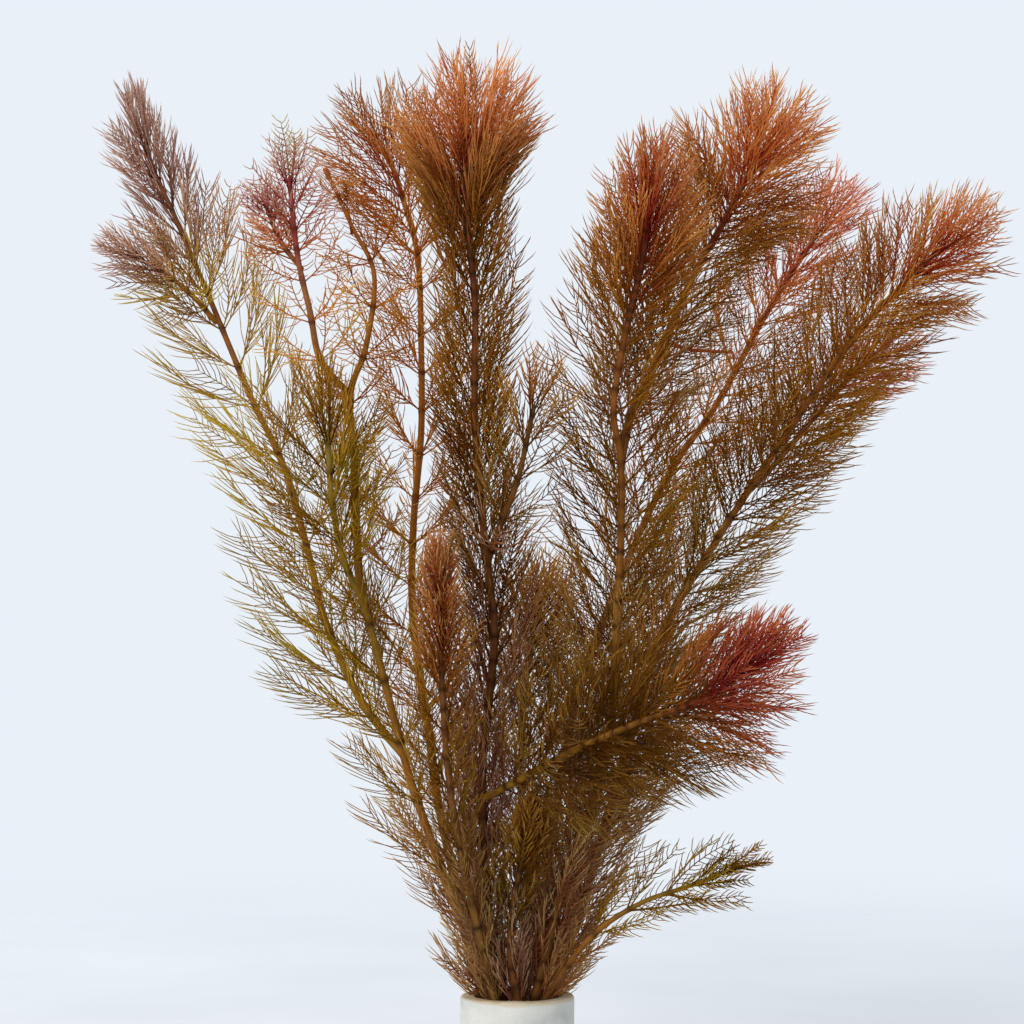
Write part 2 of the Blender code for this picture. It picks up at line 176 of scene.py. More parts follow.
# Each stem or shoot. Pairs are its value low down and in the crown.
# finish: its colours. radius: at the foot and at the tip. leaf: leaf length. spread: leaf angle to
# the stem. whorls: distance between them. crown, bare, bare_end: length of the crown, and of the
# ends without leaves. plume: a leaflet's angle to the rib, and the longest leaflet as a share of the
# leaf. bow: above 0 leaves leave the stem wide and curve up. flare: above 1 the crown opens late.
# closes: share of the crown at which it closes. tip_leaf: share of the leaf length left at the tip.
# parted: share left out of the leaves that point at the viewer. points: the route from the foot up,
# which for a fork starts inside the stem that it grows from. broken: the tip is broken off.
# odd: leaves placed one by one, with the rib's points, the longest leaflet, the place on the map in
# zone and row, and thick for how much thicker the rib is.
SHOOTS = {
    "left_stem": dict(
        finish="olive", radius=(1.3, 0.7), leaf=(31, 27), spread=(42, 42), whorls=(18, 8.6), crown=42,
        plume=(24, 0.58), parted=0.4,
        points=[(-8, 1, 26), (-13, 1, 42), (-19, 1, 58), (-27, 0, 81), (-30, 0, 91), (-36, -2, 115),
                (-40, -4, 130), (-45, -9, 142), (-48, -13, 157), (-49, -15, 174)],
        # A lone leaf that hangs out over the ring
        odd=[dict(rib=[(-9, 1, 28), (-14, 0, 33.5), (-21, -1, 38)], leaflet=5.0, zone=0.1)]),
    "far_left_shoot": dict(
        finish="mauve", radius=(1.1, 0.6), leaf=(31, 22), spread=(38, 22), whorls=(12.5, 7.2), crown=48,
        bare=5, plume=(22, 0.62), parted=0.4,
        points=[(-30, 0, 91), (-37, 3, 99), (-43, 5, 108), (-51, 8, 126), (-56, 12, 145), (-62, 15, 166),
                (-72, 18, 187), (-83, 20, 213), (-92, 21, 234), (-98, 22, 247), (-100, 22, 253)]),
    "far_left_side_shoot": dict(
        finish="mauve", radius=(0.8, 0.5), leaf=(20, 17), spread=(40, 24), whorls=(6.5, 4.8), crown=14,
        bare=4, plume=(24, 0.5), parted=0.2,
        points=[(-81, 20, 206), (-86, 13, 212), (-93, 9, 218), (-100, 7, 222)]),
    "broken_tip_shoot": dict(
        finish="orange", broken=True, radius=(1.2, 0.45), leaf=(22, 22), spread=(48, 50), whorls=(13, 13),
        crown=1, bare=8, bare_end=27.5, plume=(44, 0.42),
        points=[(-40, -4, 130), (-42, 2, 141), (-43, 3, 168), (-44, 2, 186), (-40, 5, 199), (-38, 8, 218),
                (-44, 11, 231), (-51, 13, 246)],
        # A pink stub with a little forked leaf, and the curled remains below the broken tip
        odd=[dict(rib=[(-44, 10.5, 229), (-44.6, 11, 233), (-45.4, 11, 237)],
                  leaflet=0.5, zone=0.9, thick=2.0),
             dict(rib=[(-45.2, 11, 236), (-47, 11, 238.5), (-48.5, 11, 240)], leaflet=3.0, zone=0.3),
             dict(rib=[(-45.3, 11, 237), (-45.4, 10, 240.5), (-46, 9, 243)], leaflet=2.5, zone=0.3),
             dict(rib=[(-50.5, 13, 240), (-48, 11, 242.5), (-44, 10, 242.5), (-41, 11, 244)],
                  leaflet=2.0, zone=0.2),
             dict(rib=[(-50.5, 13, 238), (-47, 12, 239.5), (-45, 10, 242), (-42, 9, 242)],
                  leaflet=1.5, zone=0.2),
             dict(rib=[(-50.7, 13, 241), (-52.5, 12, 242.5), (-52.5, 11, 244)],
                  leaflet=1.0, zone=0.2)]),
    "rose_shoot": dict(
        finish="rose", radius=(0.95, 0.6), leaf=(20, 18), spread=(50, 36), whorls=(11, 5), crown=22, bare=6,
        plume=(42, 0.44),
        points=[(-44, 2, 186), (-48, -3, 190), (-52, -6, 196), (-54, -9, 207), (-57, -12, 221),
                (-59, -14, 240)],
        # A kinked leaf on the left, and young green leaves at the top
        odd=[dict(rib=[(-57, -12, 220), (-76.6, -15, 227.6), (-74, -15, 241)], leaflet=7.0, zone=0.3),
             dict(rib=[(-59, -14, 241), (-60, -14, 250), (-61.5, -14, 257)],
                  leaflet=6.0, zone=0.9, row=YOUNG_ROW),
             dict(rib=[(-59, -14, 240), (-57.5, -14, 248), (-58, -14, 254)],
                  leaflet=5.0, zone=0.9, row=YOUNG_ROW)]),
    "rose_side_shoot": dict(
        finish="rose", radius=(0.7, 0.45), leaf=(11, 11), spread=(45, 32), whorls=(4, 2.4), crown=12, bare=4,
        plume=(30, 0.5),
        points=[(-56, -11, 218), (-62, -8, 226), (-66, -6, 236)]),
    "feathery_stem": dict(
        finish="orange", radius=(1.25, 0.7), leaf=(26, 34), spread=(44, 46), whorls=(11.5, 5.4), crown=34,
        plume=(28, 0.54), bow=(0.6, -0.2), closes=0.6, tip_leaf=0.66, parted=0.55,
        points=[(-5.5, 6, 26), (-15, 9, 52), (-21, 12, 77), (-24, 14, 99), (-28, 18, 126), (-28, 22, 151),
                (-26, 25, 176), (-26, 27, 198), (-27, 30, 224), (-31, 32, 240), (-35, 33, 252)]),
    "tall_stem": dict(
        finish="brown", radius=(1.3, 0.75), leaf=(27, 31), spread=(22, 50), whorls=(6, 2.0), crown=36,
        bow=(0.75, -0.4), flare=2.4, closes=0.55, tip_leaf=0.95, parted=0.9,
        points=[(-3.6, -1.6, 26), (-7, -3, 42), (-9, -4, 72), (-9, -5, 91), (-6, -7, 122), (-8, -8, 142),
                (-11, -10, 177), (-11, -10, 208), (-13, -10, 232), (-12, -10, 248)],
        # The youngest leaf, yellow-green and still closed, at the very top
        odd=[dict(rib=[(-12, -10, 250), (-11.6, -10, 264), (-12.7, -10, 277)],
                  leaflet=6.0, zone=0.98, row=YOUNG_ROW, crown=1.0)]),
    "tall_side_shoot": dict(
        finish="umber", radius=(0.9, 0.6), leaf=(21, 20), spread=(38, 26), whorls=(11, 8), crown=20, bare=5,
        points=[(-8, -8, 141), (-5, -14, 150), (0, -20, 163), (4, -24, 181)]),
    "crimson_shoot": dict(
        finish="crimson", radius=(1.0, 0.6), leaf=(34, 24), spread=(46, 30), whorls=(4.2, 3.0), crown=26,
        bare=6, bow=(0.3, 0.1), closes=0.6,
        points=[(-9, -5, 80), (-2, -11, 84), (8, -18, 90), (17, -23, 95), (30, -28, 101), (41, -31, 105),
                (50, -33, 109), (57, -34, 115)]),
    "inner_stem": dict(
        finish="russet", radius=(1.1, 0.6), leaf=(18, 16), spread=(34, 18), whorls=(8, 3.0), crown=36,
        parted=0.5,
        points=[(-5.5, -6.4, 26), (-12, -12, 54), (-17, -18, 81), (-19, -23, 104), (-20, -26, 138)]),
    "right_stem": dict(
        finish="rust", radius=(1.3, 0.7), leaf=(28, 25), spread=(42, 32), whorls=(6, 2.6), crown=40,
        flare=1.3, closes=0.6, tip_leaf=0.9, parted=0.85,
        points=[(4.2, -1.8, 26), (9, -4, 45), (13, -6, 62), (17, -8, 72), (22, -10, 87), (25, -10, 106),
                (26, -9, 129), (27, -8, 148), (27, -8, 168), (25, -10, 182), (28, -12, 201), (32, -15, 219),
                (34, -16, 234)]),
    "right_fork_shoot": dict(
        finish="rust", radius=(1.15, 0.7), leaf=(27, 29), spread=(38, 58), whorls=(6.4, 2.7), crown=42,
        bare=6, bow=(0.75, -0.2), closes=0.58, tip_leaf=0.92, parted=0.4,
        points=[(27, -8, 168), (30, -1, 181), (36, 6, 193), (42, 11, 207), (48, 14, 220), (56, 15, 234),
                (64, 16, 250)],
        # A bent red stub
        odd=[dict(rib=[(38.5, 8, 200), (47, 10, 198), (57.5, 12, 197.6), (58, 12, 194.8)],
                  leaflet=0.4, zone=0.97, thick=2.8)]),
    "back_stem": dict(
        finish="salmon", radius=(1.25, 0.7), leaf=(26, 26), spread=(42, 48), whorls=(8.4, 5.6), crown=38,
        closes=0.62, parted=0.0,
        points=[(1.5, 8.2, 26), (7, 11, 48), (9, 13, 66), (16, 24, 104), (27, 34, 134), (41, 42, 164),
                (56, 46, 186), (68, 48, 208), (83, 50, 232)]),
    "far_right_stem": dict(
        finish="rust", radius=(1.3, 0.7), leaf=(29, 26), spread=(40, 46), whorls=(5.6, 3.9), crown=38,
        closes=0.62, parted=0.3,
        points=[(7.6, 3.2, 26), (15, 4, 45), (20, 5, 61), (26, 6, 81), (38, 8, 121), (52, 8, 146),
                (71, 8, 175), (84, 6, 194), (95, 4, 208), (111, 1, 224)]),
    "far_right_side_shoot": dict(
        finish="salmon", radius=(0.85, 0.55), leaf=(20, 20), spread=(40, 44), whorls=(6, 3.4), crown=20,
        bare=6, parted=0.0,
        points=[(62, 8, 161), (69, 14, 168), (78, 21, 178), (87, 26, 188), (96, 28, 197)]),
    "low_stem": dict(
        finish="olive", radius=(0.9, 0.5), leaf=(28, 18), spread=(46, 24), whorls=(10.5, 6.5), crown=16,
        plume=(34, 0.34),
        points=[(6.2, -5.6, 26), (14, -8, 38), (22, -11, 47), (33, -13, 54), (44, -15, 58), (54, -15, 62)]),
    "short_front_stem": dict(
        finish="umber", radius=(1.0, 0.6), leaf=(22, 15), spread=(38, 22), whorls=(5.5, 2.8), crown=16,
        points=[(0.3, -6.2, 26), (-2, -8, 41), (-1, -10, 54), (2, -13, 67), (4, -14, 74)]),
    "middle_stem": dict(
        finish="umber", radius=(1.1, 0.6), leaf=(24, 22), spread=(40, 30), whorls=(8, 3.6), crown=26,
        parted=0.0,
        points=[(0.8, 2.6, 26), (2, 5, 42), (3, 8, 55), (1, 14, 78), (2, 18, 105), (5, 20, 128)]),
}

# Colours along each shoot, as places and colours in turn, from 0 at the foot over LOW_ZONE at the
# crown's start to 1 at the tip. blade: threads near the rib. tips: ends of the threads. stem: its
# skin. node_ring: the dark ring at its nodes. heart: the red inside of the crown.
# The pale stops at 0.12, near the foot, are the foot's greyish colour made paler still: painted light that
# lifts the shade of the dense bunch low down
FINISHES = {
    "olive": dict(heart="#6a4a14", node_ring="#503314",
        blade="0.12 #ce8c50 0.3 #b88914 0.62 #c18f15 0.8 #9e7c18 1 #b6821c",
        tips="0.12 #e0b479 0.4 #e1b330 0.7 #bb912f 1 #d6a03c",
        stem="0 #764a20 0.3 #ac712c 0.65 #987b28 1 #9a8534"),
    "mauve": dict(heart="#8a4a40", node_ring="#503018",
        blade="0 #bd8f2c 0.5 #ca9e2e 0.68 #ce9b64 0.85 #c68f76 1 #dba283",
        tips="0 #c3ab4b 0.5 #dbb74e 0.7 #cfa696 1 #d9bcab",
        stem="0 #a77d2c 0.5 #a06730 0.75 #865638 1 #966544"),
    "orange": dict(heart="#b0402c", node_ring="#653516",
        blade="0.12 #d88d44 0.35 #cc7c1b 0.62 #db7f1e 0.8 #ce6c2a 1 #cc6c2e",
        tips="0.12 #eac880 0.4 #dfa23a 0.7 #c68449 1 #c69866",
        stem="0 #8c661b 0.4 #ae7026 0.7 #ab6228 1 #a2552d"),
    "rose": dict(heart="#a01f38", node_ring="#652b20",
        blade="0 #d19229 0.5 #eb9443 0.66 #e38b58 0.82 #c1664f 1 #d88262",
        tips="0 #d1c552 0.5 #ecb062 0.75 #e6bbad 1 #e6d6c4",
        stem="0 #9a692f 0.5 #ac7346 0.75 #a54a48 1 #ad4f4a"),
    "brown": dict(heart="#a63a30", node_ring="#432610",
        blade="0.12 #c98068 0.35 #8c5c10 0.66 #b67824 0.84 #c37333 0.94 #ed8540 1 #ed9048",
        tips="0.12 #e3b596 0.45 #c3862f 0.7 #cc914c 0.86 #db965d 1 #edae76",
        stem="0 #7d4f26 0.35 #89542a 0.7 #824624 1 #a3462d"),
    "crimson": dict(heart="#b02430", node_ring="#4b210f",
        blade="0 #9d652f 0.45 #875818 0.68 #b6792c 0.86 #d5584a 1 #e06050",
        tips="0 #b38c41 0.5 #b88532 0.7 #dc7b4d 1 #e5945d",
        stem="0 #b08428 0.55 #a8732a 0.8 #a7432b 1 #b33438"),
    "rust": dict(heart="#c4382c", node_ring="#502b10",
        blade="0.12 #cc8354 0.4 #94640f 0.66 #be7a22 0.84 #c86d2e 0.94 #ed733b 1 #ed873a",
        tips="0.12 #e3c485 0.45 #c2852a 0.7 #d19348 0.86 #d89655 1 #ebb477",
        stem="0 #89592a 0.35 #a6722a 0.7 #9b5426 1 #a6482d"),
    "salmon": dict(heart="#c0362c", node_ring="#653018",
        blade="0.12 #ce915e 0.4 #b16b1b 0.62 #dc9232 0.8 #e88e46 1 #ed9256",
        tips="0.12 #e3c593 0.45 #d48b3a 0.7 #e88a68 1 #ec9f8c",
        stem="0 #895a31 0.4 #a76d31 0.7 #a75837 1 #ab5440"),
    "umber": dict(heart="#6a3420", node_ring="#3d2410",
        blade="0.12 #c78761 0.35 #926417 0.62 #9c6819 0.8 #ac6d24 1 #bd782d",
        tips="0.12 #e0bf9f 0.45 #c19035 0.7 #d6a446 1 #edb557",
        stem="0 #815226 0.5 #7e5224 1 #734c24"),
    "russet": dict(heart="#7a3022", node_ring="#3d2410",
        blade="0.12 #ba8551 0.35 #926417 0.62 #ad6e21 0.8 #c06632 1 #d0703a",
        tips="0.12 #d9af73 0.45 #bb8836 0.7 #dba052 1 #ecb170",
        stem="0 #9a7030 0.5 #8e5c30 1 #84482c"),
}
SLOTS = {name: name + "_foliage" for name in FINISHES}
SLOTS.update(umber="brown_foliage", russet="brown_foliage")


# Materials

SMOOTH = {"interpolation_type": "SMOOTHSTEP"}
COLOURS = {"data_type": "RGBA"}
ON_MAP = {"noise_dimensions": "2D"}


def linear(code):
    """Turns an sRGB hex colour to linear: c / 12.92 below 0.04045, ((c + 0.055) / 1.055)^2.4 above."""
    parts = [int(code[i:i + 2], 16) / 255.0 for i in (1, 3, 5)]
    return tuple(c / 12.92 if c <= 0.04045 else ((c + 0.055) / 1.055) ** 2.4 for c in parts) + (1.0,)


def add(tree, kind, inputs=None, settings=None):
    """Adds a shader node: sets its settings, then its inputs, each a value or another node's output.

    The stops of a colour ramp are a string with its places and colours in turn."""
    made = tree.nodes.new("ShaderNode" + kind)
    for key, value in (settings or {}).items():
        if key == "stops":
            elements = made.color_ramp.elements
            words = value.split()
            while len(elements) < len(words) // 2:
                elements.new(1.0)
            for element, place, code in zip(elements, words[::2], words[1::2]):
                element.position, element.color = float(place), linear(code)
        else:
            setattr(made, key, value)
    for key, value in (inputs or {}).items():
        if isinstance(value, bpy.types.NodeSocket):
            tree.links.new(value, made.inputs[key])
        else:
            made.inputs[key].default_value = value
    return made.outputs


def new_material(name):
    """A node material without nodes, and its node tree."""
    material = bpy.data.materials.new(name)
    material.use_nodes = True
    material.node_tree.nodes.clear()
    return material, material.node_tree


def leaf_tissue(name, core, blade, tips):
    """Leaf threads of milfoil: living tissue, wet and slightly see-through.

    Gives thin threads that glow in the light behind them, paler and pinker towards their tips,
    with a tint of its own for each leaf, a yellow-green one for young leaves, and a red heart in
    the crown. blade and tips are colours along the shoot, core is the heart's colour."""
    material, tree = new_material(name)
    place = add(tree, "UVMap", settings={"uv_map": MAP})["UV"]
    zone, high, _ = add(tree, "SeparateXYZ", {0: place})
    rows = add(tree, "MapRange",
               {0: high, 1: STEM_STRIP, 2: 1.0, 3: 0.0, 4: float(TINT_ROWS)}, {"clamp": False})[0]
    row = add(tree, "Math", {0: rows}, {"operation": "FLOOR"})[0]
    out = add(tree, "Math", {0: rows}, {"operation": "FRACT"})[0]
    low = add(tree, "ValToRGB", {0: zone}, {"stops": blade})[0]
    end = add(tree, "ValToRGB", {0: zone}, {"stops": tips})[0]
    share = add(tree, "MapRange", {0: out, 1: 0.25, 2: 0.95, 3: 0.0, 4: 1.0}, SMOOTH)[0]
    colour = add(tree, "Mix", {0: share, 6: low, 7: end}, COLOURS)[2]
    # The heart takes in the first third of each leaf, over the upper part of the crown
    near = add(tree, "MapRange", {0: out, 1: 0.08, 2: 0.4, 3: 0.9, 4: 0.0}, SMOOTH)[0]
    heart = add(tree, "MapRange", {0: zone, 1: 0.78, 2: 0.92, 3: 0.0, 4: near}, SMOOTH)[0]
    colour = add(tree, "Mix", {0: heart, 6: colour, 7: linear(core)}, COLOURS)[2]
    young = add(tree, "MapRange", {0: row, 1: 0.2, 2: 0.8, 3: 0.6, 4: 0.0})[0]
    colour = add(tree, "Mix", {0: young, 6: colour, 7: linear("#b3a845")}, COLOURS)[2]
    # One tint for each row and each 4 mm or so of the shoot, so that neighbouring leaves differ
    spot = add(tree, "Math", {0: zone, 1: 0.02}, {"operation": "SNAP"})[0]
    cell = add(tree, "CombineXYZ", {0: row, 1: spot})[0]
    tint = add(tree, "TexWhiteNoise", {"Vector": cell}, ON_MAP)[0]
    patch = add(tree, "TexNoise", {"Vector": place, "Scale": 55.0, "Detail": 2.0}, ON_MAP)[0]
    both = add(tree, "Math", {0: tint, 1: patch}, {"operation": "ADD"})[0]
    bright = add(tree, "MapRange", {0: both, 1: 0.3, 2: 1.7, 3: 0.62, 4: 1.3})[0]
    hue = add(tree, "MapRange", {0: tint, 1: 0.0, 2: 1.0, 3: 0.485, 4: 0.512})[0]
    mixed = add(tree, "HueSaturation", {"Hue": hue, "Value": bright, "Color": colour})[0]
    rough = add(tree, "MapRange", {0: patch, 1: 0.3, 2: 0.7, 3: 0.42, 4: 0.6})[0]
    # Painted shade: the lit side of a thread gets a darker copy of the colour than the light that comes
    # through it, so that the fronts of dense parts look dark as if lit from behind
    face = add(tree, "HueSaturation", {"Value": 0.72, "Color": mixed})[0]
    # IOR is matched down from the 1.4 of tissue, because the threads hardly glint
    flesh = add(tree, "BsdfPrincipled", {"Base Color": face, "Roughness": rough, "IOR": 1.1})[0]
    # Light passes two walls of a thread, so each lets through the root of the colour
    glow = add(tree, "Gamma", {"Color": mixed, "Gamma": 0.52})[0]
    through = add(tree, "BsdfTranslucent", {"Color": glow})[0]
    surface = add(tree, "MixShader", {0: 0.7, 1: flesh, 2: through})[0]
    add(tree, "OutputMaterial", {0: surface})
    return material


def stem_skin(name, along, node_ring):
    """Stem of milfoil: smooth living tissue with air channels under its skin.

    Gives a glossy, slightly see-through stem with fine streaks along it and a dark ring at each node."""
    material, tree = new_material(name)
    place = add(tree, "UVMap", settings={"uv_map": MAP})["UV"]
    zone = add(tree, "SeparateXYZ", {0: place})[0]
    colour = add(tree, "ValToRGB", {0: zone}, {"stops": along})[0]
    # Streaks about 0.5 mm wide and 8 mm long, and blotches of 3 mm
    stretched = add(tree, "Mapping", {0: place, 3: (28.0, 190.0, 1.0)})[0]
    streak = add(tree, "TexNoise", {"Vector": stretched, "Scale": 1.0, "Detail": 3.0}, ON_MAP)[0]
    spots = add(tree, "TexCoord")["Object"]
    blotch = add(tree, "TexNoise", {"Vector": spots, "Scale": 330.0, "Detail": 3.0})[0]
    both = add(tree, "Math", {0: streak, 1: blotch}, {"operation": "ADD"})[0]
    bright = add(tree, "MapRange", {0: both, 1: 0.6, 2: 1.4, 3: 0.62, 4: 1.32})[0]
    mottled = add(tree, "HueSaturation", {"Value": bright, "Color": colour})[0]
    ring = add(tree, "Attribute", settings={"attribute_name": "node_ring"})["Fac"]
    dark = add(tree, "Mix", {0: ring, 6: mottled, 7: linear(node_ring)}, COLOURS)[2]
    rough = add(tree, "MapRange", {0: streak, 1: 0.3, 2: 0.7, 3: 0.3, 4: 0.5})[0]
    relief = add(tree, "Bump", {"Strength": 0.35, "Distance": 0.0002, "Height": streak})[0]
    flesh = add(tree, "BsdfPrincipled",
                {"Base Color": dark, "Roughness": rough, "IOR": 1.25, "Normal": relief})[0]
    glow = add(tree, "Gamma", {"Color": dark, "Gamma": 0.6})[0]
    through = add(tree, "BsdfTranslucent", {"Color": glow})[0]
    surface = add(tree, "MixShader", {0: 0.45, 1: flesh, 2: through})[0]
    add(tree, "OutputMaterial", {0: surface})
    return material


def fired_clay():
    """Unglazed fired clay of a pressed plant ring.

    Gives an off-white matte wall with a fine sandy grain and a cream rim, stained by plant juice."""
    material, tree = new_material("unglazed_fired_clay")
    spots = add(tree, "TexCoord")["Object"]
    height = add(tree, "SeparateXYZ", {0: spots})[2]
    # Sand grains, drawn 0.4 mm wide so that they show, and cloudy stains of about 6 mm
    grain = add(tree, "TexNoise", {"Vector": spots, "Scale": 2400.0, "Detail": 2.0})[0]
    cloud = add(tree, "TexNoise", {"Vector": spots, "Scale": 160.0, "Detail": 4.0})[0]
    wall = add(tree, "ValToRGB", {0: cloud}, {"stops": "0.3 #c2c3bb 0.5 #d2d2ca 0.72 #dbdad1"})[0]
    speck = add(tree, "MapRange", {0: grain, 1: 0.62, 2: 0.75, 3: 0.0, 4: 0.35})[0]
    wall = add(tree, "Mix", {0: speck, 6: wall, 7: linear("#a9a394")}, COLOURS)[2]
    ragged = add(tree, "Math", {0: cloud, 1: 0.0022, 2: height}, {"operation": "MULTIPLY_ADD"})[0]
    rim = add(tree, "MapRange", {0: ragged, 1: 0.0278, 2: 0.0288, 3: 0.0, 4: 1.0}, SMOOTH)[0]
    cream = add(tree, "ValToRGB", {0: cloud}, {"stops": "0.35 #a89068 0.5 #beae90 0.68 #cbbfa6"})[0]
    colour = add(tree, "Mix", {0: rim, 6: wall, 7: cream}, COLOURS)[2]
    rough = add(tree, "MapRange", {0: grain, 1: 0.3, 2: 0.7, 3: 0.72, 4: 0.92})[0]
    relief = add(tree, "Bump", {"Strength": 0.5, "Distance": 0.0001, "Height": grain})[0]
    surface = add(tree, "BsdfPrincipled",
                  {"Base Color": colour, "Roughness": rough, "IOR": 1.5, "Normal": relief})[0]
    add(tree, "OutputMaterial", {0: surface})
    return material


def mineral_wool(name, dark, middle, pale):
    """Mineral wool of a plant plug: spun stone fibre, wet and matted.

    Gives a dull greyish-beige felt of pale fibres, with painted shade in the pits between them."""
    material, tree = new_material(name)
    spots = add(tree, "TexCoord")["Object"]
    # Matted tufts of about 1.5 mm, and fibres, drawn 0.2 mm thick so that they show
    tuft = add(tree, "TexNoise", {"Vector": spots, "Scale": 650.0, "Detail": 4.0})[0]
    fibre = add(tree, "TexNoise", {"Vector": spots, "Scale": 4200.0, "Detail": 2.0, "Distortion": 1.5})[0]
    both = add(tree, "Math", {0: tuft, 1: fibre}, {"operation": "ADD"})[0]
    share = add(tree, "Math", {0: both, 1: 0.5}, {"operation": "MULTIPLY"})[0]
    # The colour goes from dark to pale with the heights of the bump: the wool's own uneven tone, and painted
    # shade in its low pits
    colour = add(tree, "ValToRGB", {0: share}, {"stops": f"0.36 {dark} 0.5 {middle} 0.64 {pale}"})[0]
    rough = add(tree, "MapRange", {0: fibre, 1: 0.3, 2: 0.7, 3: 0.8, 4: 1.0})[0]
    relief = add(tree, "Bump", {"Strength": 0.8, "Distance": 0.0003, "Height": share})[0]
    surface = add(tree, "BsdfPrincipled",
                  {"Base Color": colour, "Roughness": rough, "IOR": 1.5, "Normal": relief})[0]
    add(tree, "OutputMaterial", {0: surface})
    return material


def studio_floor():
    """Pale matte studio board that fades out into the pale background."""
    material, tree = new_material("pale_studio_board")
    spots = add(tree, "TexCoord")["Object"]
    fleck = add(tree, "TexNoise", {"Vector": spots, "Scale": 9.0, "Detail": 3.0})[0]
    colour = add(tree, "ValToRGB", {0: fleck}, {"stops": "0.3 #b2b7be 0.7 #bbc0c6"})[0]
    board = add(tree, "BsdfPrincipled", {"Base Color": colour, "Roughness": 0.9})[0]
    far = add(tree, "VectorMath", {0: spots}, {"operation": "LENGTH"})[1]
    fade = add(tree, "MapRange", {0: far, 1: 0.16, 2: 0.62, 3: 0.0, 4: 1.0}, SMOOTH)[0]
    clear = add(tree, "BsdfTransparent")[0]
    surface = add(tree, "MixShader", {0: fade, 1: board, 2: clear})[0]
    add(tree, "OutputMaterial", {0: surface})
    return material


# Meshes from arrays

def unit(vectors):
    """Vectors divided by their length."""
    return vectors / np.maximum(np.linalg.norm(vectors, axis=-1, keepdims=True), 1e-9)


def dot(first, second):
    """Sum of the products along the last axis, which is kept."""
    return np.sum(first * second, axis=-1, keepdims=True)


def tubes(paths, radii, reference, along, across, sides):
    """Closed tubes round paths. A corner is path point + radius * (cos a * side + sin a * other).

    side is the reference direction made square to the path there, and other is path direction x side.
    Corners go round at equal angles a, and each tube ends in a point. paths are (tubes, points, 3).
    The map place is across, split evenly round the tube, and along, one value for each path point."""
    count, steps = paths.shape[:2]
    ahead = unit(np.gradient(paths, axis=1))
    side = unit(reference - dot(reference, ahead) * ahead)
    other = np.cross(ahead, side)
    turn = 2 * np.pi * np.arange(sides) / sides
    body = slice(0, steps - 1)
    rings = paths[:, body, None] + radii[:, body, None, None] * (
        np.cos(turn)[:, None] * side[:, body, None] + np.sin(turn)[:, None] * other[:, body, None])
    points = np.concatenate([rings.reshape(count, -1, 3), paths[:, -1:]], axis=1)
    first = (np.arange(count) * points.shape[1])[:, None, None]
    k, i = np.meshgrid(np.arange(sides), np.arange(steps - 2))
    k, i, after = k.ravel(), i.ravel(), (k.ravel() + 1) % sides
    walls = np.stack([i * sides + k, i * sides + after, (i + 1) * sides + after, (i + 1) * sides + k], -1)
    m = np.arange(sides)
    last = (steps - 2) * sides
    tips = np.stack([last + m, last + (m + 1) % sides, np.full(sides, last + sides)], -1)
    edges = across[:, :1] + (across[:, 1:] - across[:, :1]) * np.arange(sides + 1) / sides
    wall_map = np.stack([
        np.stack([edges[:, k], edges[:, k + 1], edges[:, k + 1], edges[:, k]], -1),
        np.stack([along[:, i], along[:, i], along[:, i + 1], along[:, i + 1]], -1)], -1)
    tip_map = np.stack([
        np.stack([edges[:, m], edges[:, m + 1], 0.5 * (edges[:, m] + edges[:, m + 1])], -1),
        np.stack([along[:, -2:-1] + 0 * m, along[:, -2:-1] + 0 * m, along[:, -1:] + 0 * m], -1)], -1)
    cap_map = np.stack([edges[:, :sides][:, ::-1],
                        along[:, :1] + (along[:, 1:2] - along[:, :1]) * (m % 2)], -1)[:, None]
    faces = [(first + walls).reshape(-1, 4), (first + tips).reshape(-1, 3),
             (first + m[::-1]).reshape(-1, sides)]
    maps = [wall_map.reshape(-1, 4, 2), tip_map.reshape(-1, 3, 2), cap_map.reshape(-1, sides, 2)]
    return points.reshape(-1, 3), faces, maps


def make_piece(name, surfaces, materials, rings=None):
    """One mesh object from several surfaces, each its points, faces, map places and material number.

    rings gives, for each point, how near it is to a node of the stem, from 0 to 1."""
    points = np.concatenate([s[0] for s in surfaces])
    corners, places, sizes, finish, start = [], [], [], [], 0
    for own_points, faces, maps, number in surfaces:
        for face, place in zip(faces, maps):
            corners.append((face + start).ravel())
            places.append(place.reshape(-1, 2))
            sizes.append(np.full(len(face), face.shape[1]))
            finish.append(np.full(len(face), number))
        start += len(own_points)
    corners, places = np.concatenate(corners), np.concatenate(places)
    sizes, finish = np.concatenate(sizes), np.concatenate(finish)
    mesh = bpy.data.meshes.new(name)
    mesh.vertices.add(len(points))
    mesh.vertices.foreach_set("co", (points * MM).astype(np.float32).ravel())
    mesh.loops.add(len(corners))
    mesh.polygons.add(len(sizes))
    mesh.polygons.foreach_set("loop_start", np.concatenate([[0], np.cumsum(sizes)[:-1]]).astype(np.int32))
    mesh.polygons.foreach_set("vertices", corners.astype(np.int32))
    mesh.polygons.foreach_set("material_index", finish.astype(np.int32))
    mesh.update(calc_edges=True)
    mesh.uv_layers.new(name=MAP).data.foreach_set("uv", places.astype(np.float32).ravel())
    if rings is not None:
        mesh.attributes.new("node_ring", "FLOAT", "POINT").data.foreach_set("value", rings.astype(np.float32))
    mesh.shade_smooth()
    for material in materials:
        mesh.materials.append(material)
    piece = bpy.data.objects.new(name, mesh)
    bpy.context.scene.collection.objects.link(piece)
    return piece


